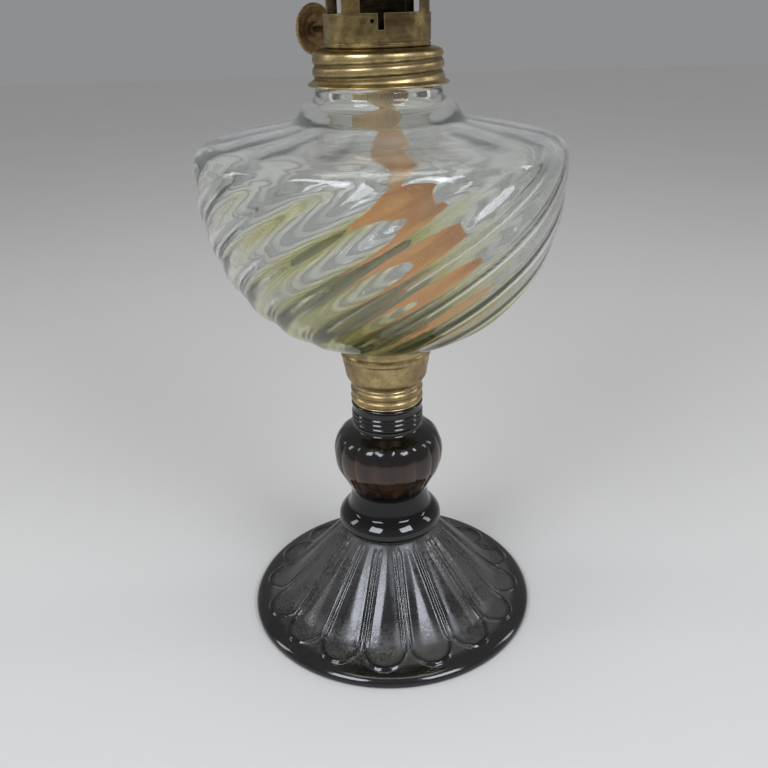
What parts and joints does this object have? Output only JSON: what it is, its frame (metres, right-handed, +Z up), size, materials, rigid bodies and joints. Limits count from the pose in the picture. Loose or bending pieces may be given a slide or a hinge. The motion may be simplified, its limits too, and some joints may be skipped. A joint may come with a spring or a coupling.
{
  "type": "oil lamp",
  "caption": "Table oil lamp with a petalled dark glass stand, a swirl-ribbed clear glass font, a flat-wick burner with a thumbwheel and a lift-off glass chimney.",
  "frame": {"origin": "centre of the foot, on the surface that the lamp stands on", "axes": "+Z up through the chimney, -Y to the front, the thumbwheel to the back left"},
  "size_m": [0.1262, 0.1262, 0.4457],
  "materials": {
    "dark_glass": "near-black amber pressed glass, glossy with a dusty bloom on the foot",
    "clear_glass": "clear pressed glass",
    "old_oil": "yellow-green old lamp oil",
    "aged_brass": "tarnished rolled brass",
    "burner_brass": "tarnished pressed brass",
    "plaster": "set plaster",
    "cotton": "woven cotton, stained orange-tan by oil"
  },
  "bodies": {
    "lamp": {"pedestal": "dark_glass", "stem_plaster": "plaster", "connector_sleeve": "aged_brass", "connector_cup": "aged_brass", "font_plaster": "plaster", "font": "clear_glass", "oil_residue": "old_oil", "collar_plaster": "plaster", "collar": "aged_brass"},
    "burner": {"burner_ferrule": "burner_brass", "burner_drum": "burner_brass", "wick_tube": "burner_brass", "ratchet_housing": "burner_brass", "gallery": "burner_brass", "deflector": "burner_brass", "prong_1": "burner_brass", "prong_2": "burner_brass", "prong_3": "burner_brass", "prong_4": "burner_brass"},
    "knob": {"thumbwheel": "burner_brass", "wheel_shaft": "burner_brass", "spur_wheel_1": "burner_brass", "spur_wheel_2": "burner_brass", "spur_wheel_3": "burner_brass", "spur_wheel_4": "burner_brass"},
    "wick": {"wick": "cotton"},
    "chimney": {"chimney": "clear_glass"}
  },
  "joints": [
    {"name": "burner_lift", "type": "slide", "parent": "lamp", "child": "burner", "axis": [0, 0, 1], "range_m": [0, 0.012]},
    {"name": "knob_turn", "type": "hinge", "parent": "burner", "child": "knob", "pos_m": [0.00294, 0.00327, 0.2216], "axis": [-0.7431, 0.6691, 0], "range_deg": [-70, 105]},
    {"name": "wick_raise", "type": "slide", "parent": "burner", "child": "wick", "axis": [0, 0, 1], "range_m": [-0.004, 0.006]},
    {"name": "chimney_lift", "type": "slide", "parent": "burner", "child": "chimney", "axis": [0, 0, 1], "range_m": [0, 0.045]}
  ],
  "couplings": [
    {"joint": "wick_raise", "follows": "knob_turn", "m_per_rad": 0.0032}
  ]
}
